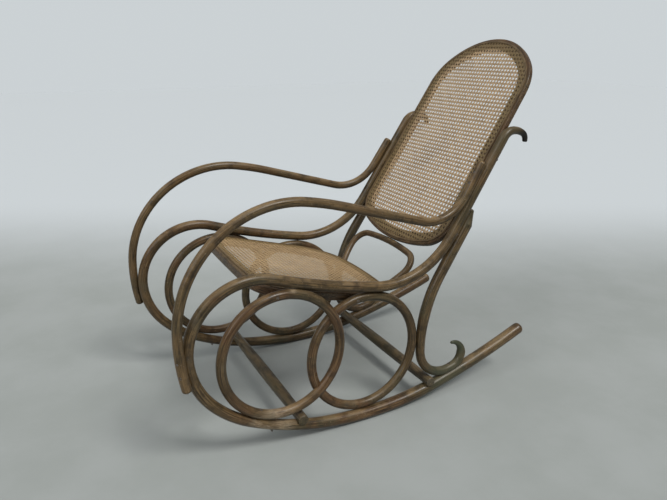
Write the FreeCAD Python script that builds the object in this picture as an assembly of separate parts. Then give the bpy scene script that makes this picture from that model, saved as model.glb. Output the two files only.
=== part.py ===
import FreeCAD, Part
import math
import os
from FreeCAD import Placement, Matrix, Vector

# A caned bentwood rocking chair. Millimetres, X across, Y towards the back, Z up.
# The origin is on the floor, midway between the points where the two runners rest.

# Side frames: each lies in a flat plane that leans in a little towards the top and the back
half_width = 266.0
toe_in = 0.020
lean_in = 0.020

# Rod diameters
loop_diameter = 29.0
runner_diameter = 36.0
ring_diameter = 26.0
arm_diameter = 24.5
leg_diameter = 32.0
leg_shin_diameter = 27.0
stretcher_end_diameter = 29.0
stretcher_middle_diameter = 35.0
brace_diameter = 20.0

# Runner and side loop: bends followed from the floor contact, forwards and round to the top
rocker_radius = 925.0
rocker_front_angle = 9.7
rocker_rear_angle = 13.9
tail_radius = 2500.0
tail_length = 340.0
tail_end_rounding = 13.0
sweep_radius = 750.0
sweep_angle = 17.9
toe_radius = 310.0
toe_angle = 22.7
front_radius = 215.0
front_angle = 36.7
knee_radius = 170.0
knee_angle = 111.6
seat_rail_radius = 2100.0
seat_rail_angle = 8.4
hip_radius = 250.0
hip_angle = 67.5
upright_length = 305.0
scroll_neck_radius = 45.0
scroll_back_radius = 75.0
scroll_back_angle = 28.0
scroll_curl_radius = 24.0
scroll_curl_angle = 66.0
scroll_tip_diameter = 15.0
scroll_end_rounding = 4.0

# Scarf that joins the runner to the side loop, ahead of the front stretcher
scarf_ahead = 362.0
scarf_length = 100.0

# Rings under the seat rail
front_ring_behind_contact = -280.0
rear_ring_behind_contact = -32.0
ring_offset = 6.0

# Armrest
arm_splay = 0.042
arm_start_height = 250.0
arm_end_height = 717.0
arm_start_heading = 101.0
arm_front_radius = 551.0
arm_front_angle = 14.7
arm_crown_radius = 291.0
arm_crown_angle = 96.1
arm_shoulder_radius = 860.0
arm_shoulder_angle = 6.6
arm_elbow_radius = 135.0
arm_end_length = 96.0
arm_end_rounding = 8.0

# Rear leg that drops from the upright to the runner and ends in a curl
leg_below_upright_end = 221.0
leg_top_thickness = 16.0
leg_top_rounding = 6.0
leg_top_taper_length = 38.0
leg_bow_radius = 392.0
leg_thinning_angle = 14.0
leg_heel_radius = 90.0
leg_seat_length = 12.0
leg_notch = 8.0
leg_curl_radius = 42.0
leg_curl_angle = 75.0
leg_tip_radius = 39.0
leg_tip_angle = 88.0
leg_tip_diameter = 9.5

# Stretchers across the runners
front_stretcher_ahead = 233.0
rear_stretcher_behind = 188.0
stretcher_overhang = 19.0
stretcher_notch = 7.0
stretcher_edge_round = 1.5
stretcher_shoulder = 12.0

# Seat
seat_drop = 8.0
seat_frame_thickness = 24.0
seat_frame_width = 38.0
frame_edge_share = 0.22
seat_front_reach = 107.0
seat_depth = 464.0
seat_front_bow = 6000.0
seat_front_corner = 88.0
seat_rear_bow = 900.0
seat_rear_corner = 150.0

# Back panel
back_frame_thickness = 16.0
back_frame_width = 40.0
back_bottom_below_hip = 88.0
back_length = 712.0
back_bottom_bow = 545.0
back_bottom_corner = 98.0
back_crown = 258.0
back_shoulder = 139.0
back_set_back = 5.0

# Cane webbing and the reed that holds it in its groove
cane_thickness = 1.6
cane_edge_margin = 9.0
cane_border = 3.0
cane_gap_share = 0.68
whole_gap_share = 0.6
seat_mesh_across = 16
back_mesh_across = 13
spline_width = 5.0
spline_depth = 5.0
spline_crown = 0.8

# Brace between the seat and the foot of the back panel
brace_bow_radius = 900.0
brace_bow_angle = 7.5
brace_corner_radius = 48.0
brace_corner_angle = 98.0
brace_side_radius = 230.0
brace_seat_level = 9.0

# Wood screws
screw_shank_diameter = 4.0
screw_head_diameter = 8.5
screw_head_height = 3.2
screw_tip_length = 6.0
screw_sunk = 1.0
screw_slot_width = 1.2
screw_slot_depth = 1.2
screw_point_radius = 0.5
rod_bite_share = 0.75
arm_screw_spacing = 34.0
arm_rear_screw_setback = 30.0
leg_screw_setback = 44.0
leg_screw_spacing = 26.0
seat_screw_length = 46.0
brace_top_screw_length = 44.0
brace_foot_screw_bite = 5.0
back_screw_length = 46.0
back_screw_levels = (4.0, 84.0)
top_back_screw_below_end = 62.0
scarf_screw_spacing = 44.0
scarf_screw_length = 23.0

# Clearances
rod_clearance = 0.3
lap_clearance = 0.15
screw_clearance = 0.2
cane_clearance = 0.1

# Share of a rod end's length that is rounded over
rim_share = 0.98

loop_radius = loop_diameter / 2
runner_radius = runner_diameter / 2
ring_tube = ring_diameter / 2
arm_radius = arm_diameter / 2
leg_radius = leg_diameter / 2
shin_radius = leg_shin_diameter / 2
brace_radius = brace_diameter / 2
cutter_size = 2 * (scarf_length + loop_diameter)


class BentPath:
    """A planar path of tangent arcs and straights. Positive angles turn left."""

    def __init__(self, start, heading):
        self.start = start
        self.heading = heading
        self.pieces = []
        self.end = start
        self.end_heading = heading

    def straight(self, length):
        here, angle = self.end, math.radians(self.end_heading)
        there = (here[0] + length * math.cos(angle), here[1] + length * math.sin(angle))
        self.pieces.append(("line", here, there, None, 0.0, length))
        self.end = there
        return self

    def bend(self, radius, angle):
        here, heading = self.end, math.radians(self.end_heading)
        side = 1.0 if angle > 0 else -1.0
        centre = (here[0] - side * radius * math.sin(heading), here[1] + side * radius * math.cos(heading))
        turned = heading + math.radians(angle)
        there = (centre[0] + side * radius * math.sin(turned), centre[1] - side * radius * math.cos(turned))
        self.pieces.append(("arc", here, there, centre, angle, radius * abs(math.radians(angle))))
        self.end = there
        self.end_heading += angle
        return self

    def length(self):
        return sum(piece[5] for piece in self.pieces)

    def end_of(self, index):
        """The end point of one of the path's pieces."""
        return self.pieces[index][2]

    def at(self, distance):
        """Point and heading at a distance along the path."""
        heading = self.heading
        for kind, here, there, centre, angle, length in self.pieces:
            if distance <= length or (kind, here) == self.pieces[-1][:2]:
                share = distance / length
                if kind == "line":
                    point = (here[0] + (there[0] - here[0]) * share, here[1] + (there[1] - here[1]) * share)
                    return point, heading
                return turn_about(here, centre, angle * share), heading + angle * share
            distance -= length
            heading += angle

    def nearest(self, point):
        """Nearest point of the path to a point, its distance along the path and how far it is."""
        best = None
        travelled = 0.0
        for kind, here, there, centre, angle, length in self.pieces:
            if kind == "line":
                run, rise = there[0] - here[0], there[1] - here[1]
                along = (point[0] - here[0]) * run + (point[1] - here[1]) * rise
                share = min(1.0, max(0.0, along / length ** 2))
                found = (here[0] + run * share, here[1] + rise * share)
            else:
                side = 1.0 if angle > 0 else -1.0
                from_start = bearing(centre, point) - bearing(centre, here)
                swept = math.degrees((from_start * side) % (2 * math.pi))
                if swept > abs(angle):
                    swept = abs(angle) if swept - abs(angle) < 360 - swept else 0.0
                share = swept / abs(angle)
                found = turn_about(here, centre, angle * share)
            gap = math.dist(found, point)
            if best is None or gap < best[2]:
                best = (found, travelled + share * length, gap)
            travelled += length
        return best

    def moved(self, across, up):
        other = BentPath((self.start[0] + across, self.start[1] + up), self.heading)
        for kind, here, there, centre, angle, length in self.pieces:
            if kind == "line":
                other.straight(length)
            else:
                other.bend(length / abs(math.radians(angle)), angle)
        return other

    def edges(self, first=0, last=None):
        made = []
        for kind, here, there, centre, angle, length in self.pieces[first:last]:
            if kind == "line":
                made.append(Part.LineSegment(flat(here), flat(there)).toShape())
            else:
                middle = turn_about(here, centre, angle / 2)
                made.append(Part.Arc(flat(here), flat(middle), flat(there)).toShape())
        return made


def flat(point):
    """A path's point in the flat plane in which the rods are bent: Y and Z."""
    return Vector(0, point[0], point[1])


def bearing(centre, point):
    return math.atan2(point[1] - centre[1], point[0] - centre[0])


def turn_about(point, centre, degrees):
    cosine, sine = math.cos(math.radians(degrees)), math.sin(math.radians(degrees))
    across, up = point[0] - centre[0], point[1] - centre[1]
    return (centre[0] + across * cosine - up * sine, centre[1] + across * sine + up * cosine)


def step_from(point, heading, distance):
    """The point at a distance from another in a heading."""
    angle = math.radians(heading)
    return (point[0] + distance * math.cos(angle), point[1] + distance * math.sin(angle))


def closest_approach(path, other, first=0.0, last=None, steps=240):
    """Where a path comes nearest to another: both points and the distance."""
    last = path.length() if last is None else last
    low, high = first, last
    for _ in range(4):
        spots = [low + (high - low) * i / steps for i in range(steps + 1)]
        gaps = [other.nearest(path.at(spot)[0])[2] for spot in spots]
        best = gaps.index(min(gaps))
        width = (high - low) / steps
        low, high = max(first, spots[best] - width), min(last, spots[best] + width)
    here = path.at(spots[best])[0]
    return here, other.nearest(here)[0], gaps[best], spots[best]


def solved(measure, low, high):
    """The value between low and high at which a steadily changing measure is zero."""
    rising = measure(high) > measure(low)
    for _ in range(60):
        middle = (low + high) / 2
        if (measure(middle) > 0) == rising:
            high = middle
        else:
            low = middle
    return (low + high) / 2


def circle_wire(centre, direction, radius):
    return Part.Wire(Part.makeCircle(radius, centre, direction))


def round_rod(edges, radius):
    """A round rod of one diameter along tangent edges."""
    spine = Part.Wire(edges)
    start = edges[0].valueAt(edges[0].FirstParameter)
    direction = edges[0].tangentAt(edges[0].FirstParameter)
    return spine.makePipeShell([circle_wire(start, direction, radius)], True, False)


def thinning_rod(edges, start_radius, end_radius, level_side=None):
    """A round rod that thins steadily along tangent edges.

    With level_side, a signed side of the path, the rod's surface stays level on that side.
    """
    profiles = []
    for edge, parameter, radius in (
        (edges[0], edges[0].FirstParameter, start_radius),
        (edges[-1], edges[-1].LastParameter, end_radius),
    ):
        point, along = edge.valueAt(parameter), edge.tangentAt(parameter)
        if level_side:
            point = point + along.cross(Vector(1, 0, 0)) * (level_side - math.copysign(radius, level_side))
        profiles.append(circle_wire(point, along, radius))
    return Part.Wire(edges).makePipeShell(profiles, True, False)


def rod_end(point, out, radius, rounding):
    """The blunt end of a rod, with its rim rounded over."""
    end = Part.makeCylinder(radius, rounding, point, out)
    return end.makeFillet(min(rounding, radius) * rim_share, outer_rim(end, point, out, rounding / 2))


def outer_rim(end, point, out, beyond):
    """The closed edges of a rod's end that lie more than a distance beyond a point."""
    return [edge for edge in end.Edges if edge.isClosed() and (edge.BoundBox.Center - point).dot(out) > beyond]


def path_end(edges, at_start=False):
    """The end point of a run of edges and the direction out of it."""
    if at_start:
        return edges[0].valueAt(edges[0].FirstParameter), edges[0].tangentAt(edges[0].FirstParameter) * -1
    return edges[-1].valueAt(edges[-1].LastParameter), edges[-1].tangentAt(edges[-1].LastParameter)


def joined(pieces):
    whole = pieces[0].fuse(pieces[1:]) if len(pieces) > 1 else pieces[0]
    return whole.removeSplitter()


def only_solid(shape):
    """The largest solid of a shape, with any loose sliver of a cut left behind."""
    return max(shape.Solids, key=lambda solid: solid.Volume)


def big_box_below(point, normal, size):
    """A cube that fills one side of a plane through a point, opposite to the normal."""
    cube = Part.makeBox(size, size, size, Vector(-size / 2, -size / 2, -size))
    cube.Placement = Placement(point, FreeCAD.Rotation(Vector(0, 0, 1), normal))
    return cube


# The side frame's paths, in its flat plane

def build_loop_path():
    path = BentPath((0.0, loop_radius), 180.0)
    path.bend(rocker_radius, -rocker_front_angle)
    path.bend(sweep_radius, -sweep_angle)
    path.bend(toe_radius, -toe_angle)
    path.bend(front_radius, -front_angle)
    path.bend(knee_radius, -knee_angle)
    path.bend(seat_rail_radius, seat_rail_angle)
    path.bend(hip_radius, hip_angle)
    path.straight(upright_length)
    path.bend(scroll_neck_radius, -(path.end_heading % 360))
    path.bend(scroll_back_radius, -scroll_back_angle)
    path.bend(scroll_curl_radius, -scroll_curl_angle)
    return path


def build_runner_path():
    path = BentPath((0.0, loop_radius), 0.0)
    path.bend(rocker_radius, rocker_rear_angle)
    path.bend(tail_radius, tail_length / tail_radius * 180 / math.pi)
    return path


loop_path = build_loop_path()
runner_path = build_runner_path()
seat_rail_piece = 5
upright_piece = 7


def part_of(path, first, last):
    """The same path, with only some of its pieces."""
    piece = BentPath(path.pieces[first][1], path.heading + sum(p[4] for p in path.pieces[:first]))
    for kind, here, there, centre, angle, length in path.pieces[first:last]:
        if kind == "line":
            piece.straight(length)
        else:
            piece.bend(length / abs(math.radians(angle)), angle)
    return piece


bottom_path = part_of(loop_path, 0, 4)
front_path = part_of(loop_path, 3, 5)
seat_rail_path = part_of(loop_path, seat_rail_piece, 7)
upright_path = part_of(loop_path, upright_piece, upright_piece + 1)
upright_heading = upright_path.heading % 360
scarf_distance = bottom_path.nearest((-scarf_ahead, 0.0))[1]
runner_thinning_end = scarf_distance - scarf_length / 2


def runner_radius_at(path, along):
    """The runner is thick behind its floor contact and thins forwards to the loop's diameter."""
    share = 0.0 if path is runner_path else min(1.0, along / runner_thinning_end)
    return runner_radius + (loop_radius - runner_radius) * share


def runner_near(point):
    """Place, upward direction and radius of the runner's middle where it is nearest to a point."""
    path = min((bottom_path, runner_path), key=lambda each: each.nearest(point)[2])
    line, along, _ = path.nearest(point)
    radius = runner_radius_at(path, along)
    heading = path.at(along)[1] + (90 if path is runner_path else -90)
    return step_from(line, heading, radius - loop_radius), radius


def side_x(y, z):
    """Distance of the side frame's plane from the middle of the chair."""
    return half_width - toe_in * y - lean_in * z


def side_placement():
    """Turns and moves a shape from the flat plane of the rods to the sitter's left-hand side frame."""
    along = Vector(-toe_in, 1, 0).normalize()
    up = Vector(-lean_in, 0, 1)
    up = (up - along * up.dot(along)).normalize()
    out = along.cross(up)
    matrix = Matrix(
        out.x, along.x, up.x, half_width,
        out.y, along.y, up.y, 0,
        out.z, along.z, up.z, 0,
        0, 0, 0, 1,
    )
    return Placement(matrix)


to_side = side_placement()


def placed_point(point, outward=0.0):
    return to_side.multVec(Vector(outward, point[0], point[1]))


def ring_between(y, offset):
    """Centre height and radius of the ring that touches the seat rail above and the runner below."""

    def ring_reach(rod_middle, rod_radius, z):
        touch = rod_radius + ring_tube + rod_clearance
        return math.dist(rod_middle, (y, z)) - math.sqrt(touch ** 2 - offset ** 2)

    def reach_above(z):
        return ring_reach(seat_rail_path.nearest((y, z))[0], loop_radius, z)

    def reach_below(z):
        return ring_reach(*runner_near((y, z)), z)

    z = solved(lambda z: reach_below(z) - reach_above(z), 100.0, 350.0)
    return (y, z), reach_below(z)


front_ring_centre, front_ring_radius = ring_between(front_ring_behind_contact, ring_offset)
rear_ring_centre, rear_ring_radius = ring_between(rear_ring_behind_contact, ring_offset)


def build_arm_path():
    """The armrest's path, slid until it touches the loop in front and lies along the upright behind."""

    def trial(fall_length):
        path = BentPath((0.0, arm_start_height), arm_start_heading)
        path.bend(arm_front_radius, -arm_front_angle)
        path.bend(arm_crown_radius, -arm_crown_angle)
        path.bend(arm_shoulder_radius, -arm_shoulder_angle)
        path.straight(fall_length)
        path.bend(arm_elbow_radius, upright_heading - path.end_heading)
        path.straight(arm_end_length)
        return path

    touch = loop_radius + arm_radius + rod_clearance
    front = trial(200.0)

    def front_gap(across):
        path = front.moved(across, 0.0)
        spots = [path.at(front_reach * i / 160)[0] for i in range(161)]
        return min(math.hypot(front_path.nearest(spot)[2], arm_outward(spot)) for spot in spots) - touch

    front_reach = front.pieces[0][5] + 0.5 * front.pieces[1][5]

    across = solved(front_gap, -700.0, loop_front_y())

    def rear_gap(fall_length):
        return distance_ahead_of_upright(trial(fall_length).moved(across, 0.0).end) - touch

    return trial(solved(rear_gap, 20.0, 600.0)).moved(across, 0.0)


def arm_outward(point):
    """How far the armrest's own plane stands outside the side frame's plane."""
    return arm_splay * (arm_end_height - point[1])


def loop_front_y():
    return min(front_path.at(front_path.length() * i / 200)[0][0] for i in range(201))


def distance_ahead_of_upright(point):
    """How far a point lies in front of the upright's middle line."""
    foot, angle = upright_path.start, math.radians(upright_heading)
    return -(point[0] - foot[0]) * math.sin(angle) + (point[1] - foot[1]) * math.cos(angle)


def build_leg_path():
    """The rear leg's path: along the back of the upright, past the rear ring, down on to the runner."""
    behind = loop_radius + leg_radius + rod_clearance
    top = step_from(upright_path.end, upright_heading + 180, leg_below_upright_end)
    top = step_from(top, upright_heading - 90, behind)

    def trial(straight_length, shin_length, runner_heading):
        path = BentPath(top, upright_heading + 180)
        path.straight(leg_top_taper_length)
        path.straight(straight_length)
        path.bend(leg_bow_radius, 270 - leg_thinning_angle - path.end_heading)
        path.bend(leg_bow_radius, leg_thinning_angle)
        path.straight(shin_length)
        path.bend(leg_heel_radius, 90 + runner_heading)
        path.straight(leg_seat_length)
        path.bend(leg_curl_radius, leg_curl_angle)
        path.bend(leg_tip_radius, leg_tip_angle)
        return path

    ring_back = rear_ring_centre[0] + rear_ring_radius
    shin_y = ring_back + math.sqrt((ring_tube + shin_radius + rod_clearance) ** 2 - ring_offset ** 2)

    def bow_gap(straight_length):
        return trial(straight_length, 0.0, 0.0).end_of(leg_bow_last)[0] - shin_y

    straight_length = solved(bow_gap, 0.0, 400.0)
    runner_heading = 0.0
    seated = runner_radius + shin_radius - leg_notch
    for _ in range(3):

        def seat_gap(shin_length):
            foot = trial(straight_length, shin_length, runner_heading).end_of(leg_heel)
            runner_middle = runner_near(foot)[0]
            return math.copysign(math.dist(foot, runner_middle), foot[1] - runner_middle[1]) - seated

        shin_length = solved(seat_gap, 0.0, 140.0)
        foot = trial(straight_length, shin_length, runner_heading).end_of(leg_heel)
        runner_heading = runner_path.at(runner_path.nearest(foot)[1])[1]
    return trial(straight_length, shin_length, runner_heading)


# Which pieces of the leg's path its stretches end on
leg_bow_last = 3
leg_heel = 5
leg_curl = 7

arm_path = build_arm_path()
leg_path = build_leg_path()


# Screws

def screw_shape(start, direction, length, grow=0.0):
    """A countersunk wood screw, or with grow the hole that it turns in."""
    head = Part.makeCone(
        screw_head_diameter / 2 + grow, screw_shank_diameter / 2 + grow, screw_head_height, start, direction
    )
    shank_start = start + direction * screw_head_height
    shank_length = length - screw_head_height - screw_tip_length
    shank = Part.makeCylinder(screw_shank_diameter / 2 + grow, shank_length, shank_start, direction)
    tip_start = shank_start + direction * shank_length
    tip = Part.makeCone(
        screw_shank_diameter / 2 + grow, screw_point_radius + grow, screw_tip_length + grow,
        tip_start, direction
    )
    if grow:
        above = Part.makeCylinder(
            screw_head_diameter / 2 + grow, loop_diameter, start - direction * loop_diameter, direction
        )
        return joined([above, head, shank, tip])
    slot = Part.makeBox(screw_head_diameter * 2, screw_slot_width, screw_slot_depth)
    slot.translate(Vector(-screw_head_diameter, -screw_slot_width / 2, 0))
    slot.Placement = Placement(start, FreeCAD.Rotation(Vector(0, 0, 1), direction)).multiply(slot.Placement)
    return joined([head, shank, tip]).cut(slot)


class ScrewGroup:
    """Like screws of one joint: where each starts, its direction and its length."""

    def __init__(self):
        self.places = []

    def add(self, start, direction, length):
        self.places.append((start, direction, length))

    def solids(self):
        return Part.makeCompound([screw_shape(*place) for place in self.places])

    def holes(self):
        return [screw_shape(*place, screw_clearance) for place in self.places]


def screw_through(group, near, far, near_radius, far_radius):
    """A screw from the far side of one rod, straight through its middle and into the next."""
    direction = (far - near).normalize()
    start = near - direction * (near_radius - screw_sunk)
    gap = (far - near).Length - near_radius - far_radius
    group.add(start, direction, 2 * near_radius - screw_sunk + gap + 2 * far_radius * rod_bite_share)


def drilled(shape, groups):
    holes = [hole for group in groups for hole in group.holes()]
    near = [hole for hole in holes if hole.BoundBox.intersect(shape.BoundBox)]
    return only_solid(shape.cut(near)) if near else shape


# Rods of the side frame, in their flat plane

def scarf_plane():
    """Middle and normal of the slanted cut where the runner lies on the loop's front end."""
    point, heading = bottom_path.at(scarf_distance)
    slant = math.degrees(math.atan2(loop_diameter, scarf_length))
    angle = math.radians(heading - 90 - slant)
    return point, Vector(0, math.cos(angle), math.sin(angle))


scarf_point, scarf_normal = scarf_plane()


def trimmed_bottom(first, last):
    """The stretch of the bottom path between two distances along it."""
    piece = BentPath(*bottom_path.at(first))
    travelled = 0.0
    for kind, here, there, centre, angle, length in bottom_path.pieces:
        begin, stop = max(first, travelled), min(last, travelled + length)
        if stop > begin:
            piece.bend(length / abs(math.radians(angle)), angle * (stop - begin) / length)
        travelled += length
    return piece


def build_loop():
    lower = trimmed_bottom(scarf_distance - scarf_length, bottom_path.length())
    body = BentPath(lower.start, lower.heading)
    for path in (lower, part_of(loop_path, 4, upright_piece + 1)):
        for kind, here, there, centre, angle, length in path.pieces:
            if kind == "line":
                body.straight(length)
            else:
                body.bend(length / abs(math.radians(angle)), angle)
    rod = round_rod(body.edges(), loop_radius)
    curve = loop_path.edges(upright_piece + 1)
    scroll = thinning_rod(curve, loop_radius, scroll_tip_diameter / 2)
    tip = rod_end(*path_end(curve), scroll_tip_diameter / 2, scroll_end_rounding)
    cutter = big_box_below(flat(scarf_point), scarf_normal * -1, cutter_size)
    return only_solid(joined([rod, scroll, tip]).cut(cutter))


def whole_runner(grow=0.0):
    """The runner before its scarf is cut. Its underside follows one line while its thickness changes."""
    thick, thin, below = runner_radius + grow, loop_radius + grow, loop_radius + grow
    rear = thinning_rod(runner_path.edges(), thick, thick, below)
    forward = thinning_rod(trimmed_bottom(0.0, runner_thinning_end).edges(), thick, thin, -below)
    nose = round_rod(trimmed_bottom(runner_thinning_end, scarf_distance + scarf_length).edges(), thin)
    point, out = path_end(runner_path.edges())
    point = point + Vector(1, 0, 0).cross(out) * (runner_radius - loop_radius)
    return joined([rear, forward, nose, rod_end(point, out, thick, tail_end_rounding)])


def build_runner():
    cutter = big_box_below(flat(scarf_point), scarf_normal, cutter_size)
    return only_solid(whole_runner().cut(cutter))


def build_ring(centre, radius, outward):
    return Part.makeTorus(radius, ring_tube, Vector(outward, centre[0], centre[1]), Vector(1, 0, 0))


def build_lapped_rings():
    """Both rings of a side, each notched by half where they cross."""
    front = build_ring(front_ring_centre, front_ring_radius, ring_offset)
    rear = build_ring(rear_ring_centre, rear_ring_radius, -ring_offset)
    grown = [
        Part.makeTorus(radius, ring_tube + lap_clearance, Vector(outward, *centre), Vector(1, 0, 0))
        for centre, radius, outward in (
            (front_ring_centre, front_ring_radius, ring_offset),
            (rear_ring_centre, rear_ring_radius, -ring_offset),
        )
    ]
    reach = 4 * front_ring_radius
    middle = Vector(0, front_ring_centre[0], front_ring_centre[1])
    inner_side = big_box_below(middle + Vector(lap_clearance / 2, 0, 0), Vector(1, 0, 0), reach)
    outer_side = big_box_below(middle - Vector(lap_clearance / 2, 0, 0), Vector(-1, 0, 0), reach)
    front = front.cut(grown[1].common(inner_side))
    rear = rear.cut(grown[0].common(outer_side))
    return only_solid(front), only_solid(rear)


def build_arm():
    edges = arm_path.edges()
    arm = only_solid(joined([
        round_rod(edges, arm_radius),
        rod_end(*path_end(edges, True), arm_radius, arm_end_rounding),
        rod_end(*path_end(edges), arm_radius, arm_end_rounding),
    ]))
    hinge = Vector(0, 0, arm_end_height)
    arm.rotate(hinge, Vector(0, 1, 0), -math.degrees(math.atan(arm_splay)))
    return arm


def build_leg():
    """Thick behind the upright, where only its outer side is cut away, and thinner from the ring down."""
    top_radius, tip_radius = leg_top_thickness / 2, leg_tip_diameter / 2
    taper = leg_path.edges(0, 1)
    point, out = path_end(taper, True)
    point = point + Vector(1, 0, 0).cross(out) * (leg_radius - top_radius)
    curl_tip = leg_path.edges(leg_curl + 1)
    return only_solid(joined([
        rod_end(point, out, top_radius, leg_top_rounding),
        thinning_rod(taper, top_radius, leg_radius, leg_radius),
        round_rod(leg_path.edges(1, leg_bow_last), leg_radius),
        thinning_rod(leg_path.edges(leg_bow_last, leg_bow_last + 1), leg_radius, shin_radius),
        round_rod(leg_path.edges(leg_bow_last + 1, leg_curl + 1), shin_radius),
        thinning_rod(curl_tip, shin_radius, tip_radius),
        rod_end(*path_end(curl_tip), tip_radius, tip_radius),
    ]))


# Rods across the chair

def stretcher_seat(y):
    """The middle of a stretcher, which sits on the runner in a notch of its own, and the runner's radius."""
    path = runner_path if y > 0 else bottom_path
    place = solved(lambda along: abs(path.at(along)[0][0]) - abs(y), 0.0, path.length())
    below = path.at(place)[0]
    radius = runner_radius_at(path, place)
    runner_top = below[1] - loop_radius + 2 * radius
    return (below[0], runner_top + stretcher_end_diameter / 2 - stretcher_notch), radius


def build_stretcher(y):
    """A turned bar: plain where it crosses the runners, slightly swollen between them."""
    centre = placed_point(stretcher_seat(y)[0])
    half = centre.x + stretcher_overhang
    plain = centre.x - runner_radius - stretcher_shoulder
    end_radius = stretcher_end_diameter / 2
    middle_radius = stretcher_middle_diameter / 2
    bar = Part.makeCylinder(end_radius, 2 * half, Vector(-half, 0, 0), Vector(1, 0, 0))
    bar = bar.makeChamfer(stretcher_edge_round, [edge for edge in bar.Edges if edge.isClosed()])
    swell = Part.Arc(
        Vector(-plain, end_radius, 0), Vector(0, middle_radius, 0), Vector(plain, end_radius, 0)
    ).toShape()
    lines = Part.makePolygon([
        Vector(plain, end_radius, 0), Vector(plain, 0, 0), Vector(-plain, 0, 0), Vector(-plain, end_radius, 0)
    ])
    belly = Part.Face(Part.Wire([swell] + lines.Edges)).revolve(Vector(0, 0, 0), Vector(1, 0, 0), 360)
    bar = joined([bar, belly])
    bar.translate(Vector(0, centre.y, centre.z))
    return bar


# Flat frames with cane

class OvalOutline:
    """A closed outline: bowed foot and crown, rounded corners and straight sides that may taper."""

    def __init__(self, half_at, level_at, taper, foot, crown, foot_bow, foot_corner, crown_bow, crown_corner):
        self.half_at = half_at
        self.level_at = level_at
        self.taper = math.radians(taper)
        self.foot = foot
        self.crown = crown
        self.foot_bow = foot_bow
        self.foot_corner = foot_corner
        self.crown_bow = crown_bow
        self.crown_corner = crown_corner

    def inset(self, distance):
        """The same outline, smaller all round."""
        slimmer = distance / math.cos(self.taper)
        return OvalOutline(
            self.half_at - slimmer, self.level_at, math.degrees(self.taper),
            self.foot + distance, self.crown - distance,
            self.foot_bow - distance, self.foot_corner - distance,
            self.crown_bow - distance, self.crown_corner - distance,
        )

    def corner(self, level, bow, radius, up):
        """Centre of a corner's arc, which touches the side line and the bow."""
        normal = (math.cos(self.taper), math.sin(self.taper))
        line = self.half_at * normal[0] + self.level_at * normal[1] - radius
        bow_centre = (0.0, level + bow * up)
        offset = line - bow_centre[1] * normal[1]
        along = math.sqrt((bow - radius) ** 2 - offset ** 2)
        across = offset * normal[0] + along * normal[1] * up
        height = bow_centre[1] + offset * normal[1] - along * normal[0] * up
        return (across, height), bow_centre, normal

    def points(self):
        """Joints and middles of the right half's curves, from the foot up to the crown."""
        found = []
        for level, bow, radius, up in (
            (self.foot, self.foot_bow, self.foot_corner, 1),
            (self.crown, self.crown_bow, self.crown_corner, -1),
        ):
            centre, bow_centre, normal = self.corner(level, bow, radius, up)
            away = math.dist(centre, bow_centre)
            unit = ((centre[0] - bow_centre[0]) / away, (centre[1] - bow_centre[1]) / away)
            bow_end = (bow_centre[0] + unit[0] * bow, bow_centre[1] + unit[1] * bow)
            side_end = (centre[0] + normal[0] * radius, centre[1] + normal[1] * radius)
            middle = (unit[0] + normal[0], unit[1] + normal[1])
            size = math.hypot(*middle)
            corner_middle = (centre[0] + middle[0] / size * radius, centre[1] + middle[1] / size * radius)
            found.append((bow_end, corner_middle, side_end))
        return found

    def wire(self, height):
        (foot_end, foot_middle, foot_side), (crown_end, crown_middle, crown_side) = self.points()

        def at(point, mirror=1):
            return Vector(mirror * point[0], point[1], height)

        curves = [
            Part.Arc(at(foot_end, -1), at((0.0, self.foot)), at(foot_end)),
            Part.Arc(at(foot_end), at(foot_middle), at(foot_side)),
            Part.LineSegment(at(foot_side), at(crown_side)),
            Part.Arc(at(crown_side), at(crown_middle), at(crown_end)),
            Part.Arc(at(crown_end), at((0.0, self.crown)), at(crown_end, -1)),
            Part.Arc(at(crown_end, -1), at(crown_middle, -1), at(crown_side, -1)),
            Part.LineSegment(at(crown_side, -1), at(foot_side, -1)),
            Part.Arc(at(foot_side, -1), at(foot_middle, -1), at(foot_end, -1)),
        ]
        return Part.Wire([curve.toShape() for curve in curves])

    def plate(self, bottom, thickness):
        return Part.Face(self.wire(bottom)).extrude(Vector(0, 0, thickness))

    def band(self, width, bottom, thickness):
        return self.plate(bottom, thickness).cut(self.inset(width).plate(bottom, thickness))


def rounded_frame(outline, width, thickness):
    """A flat frame with its long edges eased, its top face at height 0."""
    frame = outline.band(width, -thickness, thickness)
    long_edges = [edge for edge in frame.Edges if abs(edge.BoundBox.ZLength) < 0.01]
    return frame.makeFillet(thickness * frame_edge_share, long_edges)


def groove_ring(outline, inset, grow=0.0):
    """The reed that presses the cane into its groove, or with grow the groove."""
    outer = outline.inset(inset - grow)
    width = spline_width + 2 * grow
    return outer.band(width, -spline_depth - grow, spline_depth + grow)


def cane_sheet(outline, across):
    """Woven cane as a net: one face with a hole at each gap of the mesh."""
    edge_inset = cane_edge_margin + spline_width + cane_clearance
    open_area = outline.inset(edge_inset + cane_border)
    pitch = 2 * open_area.half_at / across
    gap = pitch * cane_gap_share
    middle = (open_area.crown + open_area.foot) / 2
    rows = int((open_area.crown - open_area.foot) / pitch) + 1
    limit = Part.Face(open_area.inset(gap * whole_gap_share).wire(0.0))
    openings = []
    for row in range(rows + 1):
        for column in range(across + 1):
            centre = Vector((column - across / 2) * pitch, middle + (row - rows / 2) * pitch, 0)
            if limit.isInside(centre, 0.01, True):
                openings.append(mesh_gap(centre, gap / 2))
    net = Part.makeFace([outline.inset(edge_inset).wire(0.0)] + openings, "Part::FaceMakerBullseye")
    return net.extrude(Vector(0, 0, cane_thickness))


def mesh_gap(centre, half):
    """One eight-sided gap of the mesh."""
    short = half * math.tan(math.pi / 8)
    spots = [
        (-short, -half), (short, -half), (half, -short), (half, short),
        (short, half), (-short, half), (-half, short), (-half, -short), (-short, -half),
    ]
    return Part.makePolygon([centre + Vector(x, y, 0) for x, y in spots])


# Where the flat frames lie

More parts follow.
